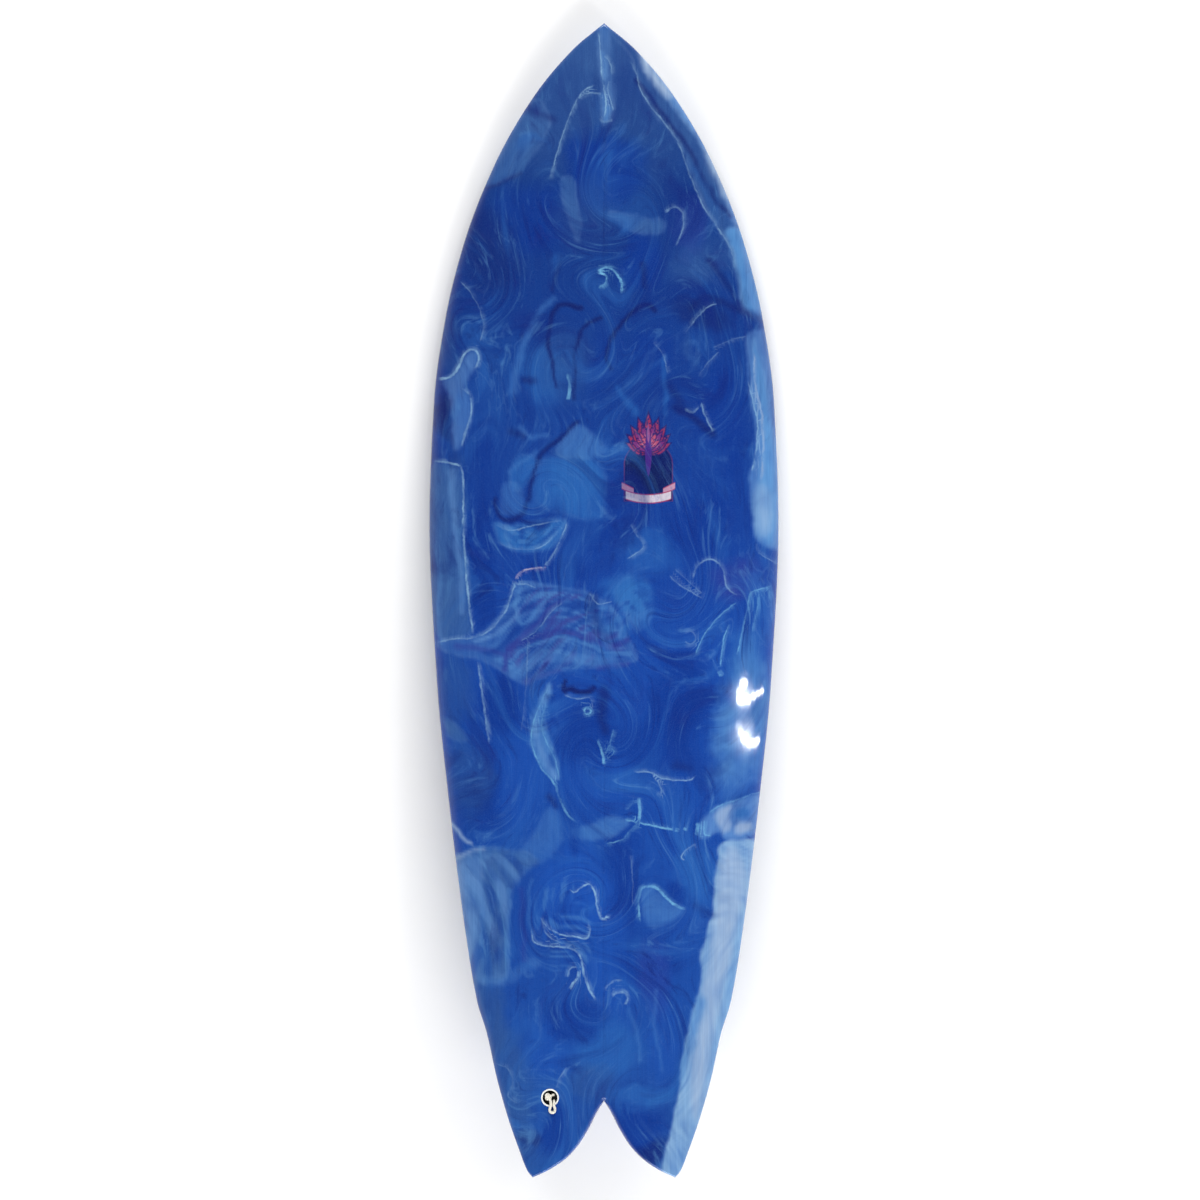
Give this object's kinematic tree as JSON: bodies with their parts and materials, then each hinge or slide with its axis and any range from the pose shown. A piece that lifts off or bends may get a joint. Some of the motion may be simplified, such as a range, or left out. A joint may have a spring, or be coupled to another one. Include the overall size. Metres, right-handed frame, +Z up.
{
  "type": "twin-keel fish surfboard",
  "caption": "Short swallow-tailed surfboard with a marbled resin-tint deck, removable keel fins and a leash plug with its knotted string; a rider stands on it to ride waves.",
  "frame": {"origin": "centre of the bounding box in plan, on the floor the board rests on with its fins fitted", "axes": "+Y from the swallow tail towards the nose along the floor, +X to the rider's right, +Z up"},
  "size_m": [0.5248, 1.7242, 0.1752],
  "materials": {
    "foam": "matte",
    "stringer_wood": "satin",
    "deck_resin_tint": "gloss",
    "bottom_resin_tint": "gloss",
    "gloss_resin": "gloss",
    "decal_paper": "gloss",
    "black_plastic": "satin",
    "white_plastic": "satin",
    "stainless": "satin",
    "cord": "matte",
    "fin_fibreglass": "gloss"
  },
  "bodies": {
    "board": {"foam_blank_left": "foam", "foam_blank_right": "foam", "stringer": "stringer_wood", "bottom_laminate": "bottom_resin_tint", "deck_laminate": "deck_resin_tint", "deck_decal": "decal_paper", "bottom_gloss_coat": "gloss_resin", "deck_gloss_coat": "gloss_resin", "leash_plug_cup": "black_plastic", "leash_plug_ring": "white_plastic", "leash_plug_pin": "stainless", "leash_string": "cord", "fin_box_left": "black_plastic", "fin_box_right": "black_plastic"},
    "left_keel": {"keel_fin_left": "fin_fibreglass"},
    "right_keel": {"keel_fin_right": "fin_fibreglass"},
    "left_screw": {"fin_screw_left": "stainless"},
    "right_screw": {"fin_screw_right": "stainless"}
  },
  "joints": [
    {"name": "left_keel_lift_out", "type": "slide", "parent": "board", "child": "left_keel", "axis": [-0.1079, -0.1812, -0.9775], "range_m": [0, 0.05]},
    {"name": "right_keel_lift_out", "type": "slide", "parent": "board", "child": "right_keel", "axis": [0.1079, -0.1812, -0.9775], "range_m": [0, 0.05]},
    {"name": "left_screw_back_out", "type": "slide", "parent": "board", "child": "left_screw", "axis": [-0.0838, 0.2508, -0.9644], "range_m": [0, 0.012]},
    {"name": "right_screw_back_out", "type": "slide", "parent": "board", "child": "right_screw", "axis": [0.0838, 0.2508, -0.9644], "range_m": [0, 0.012]}
  ]
}
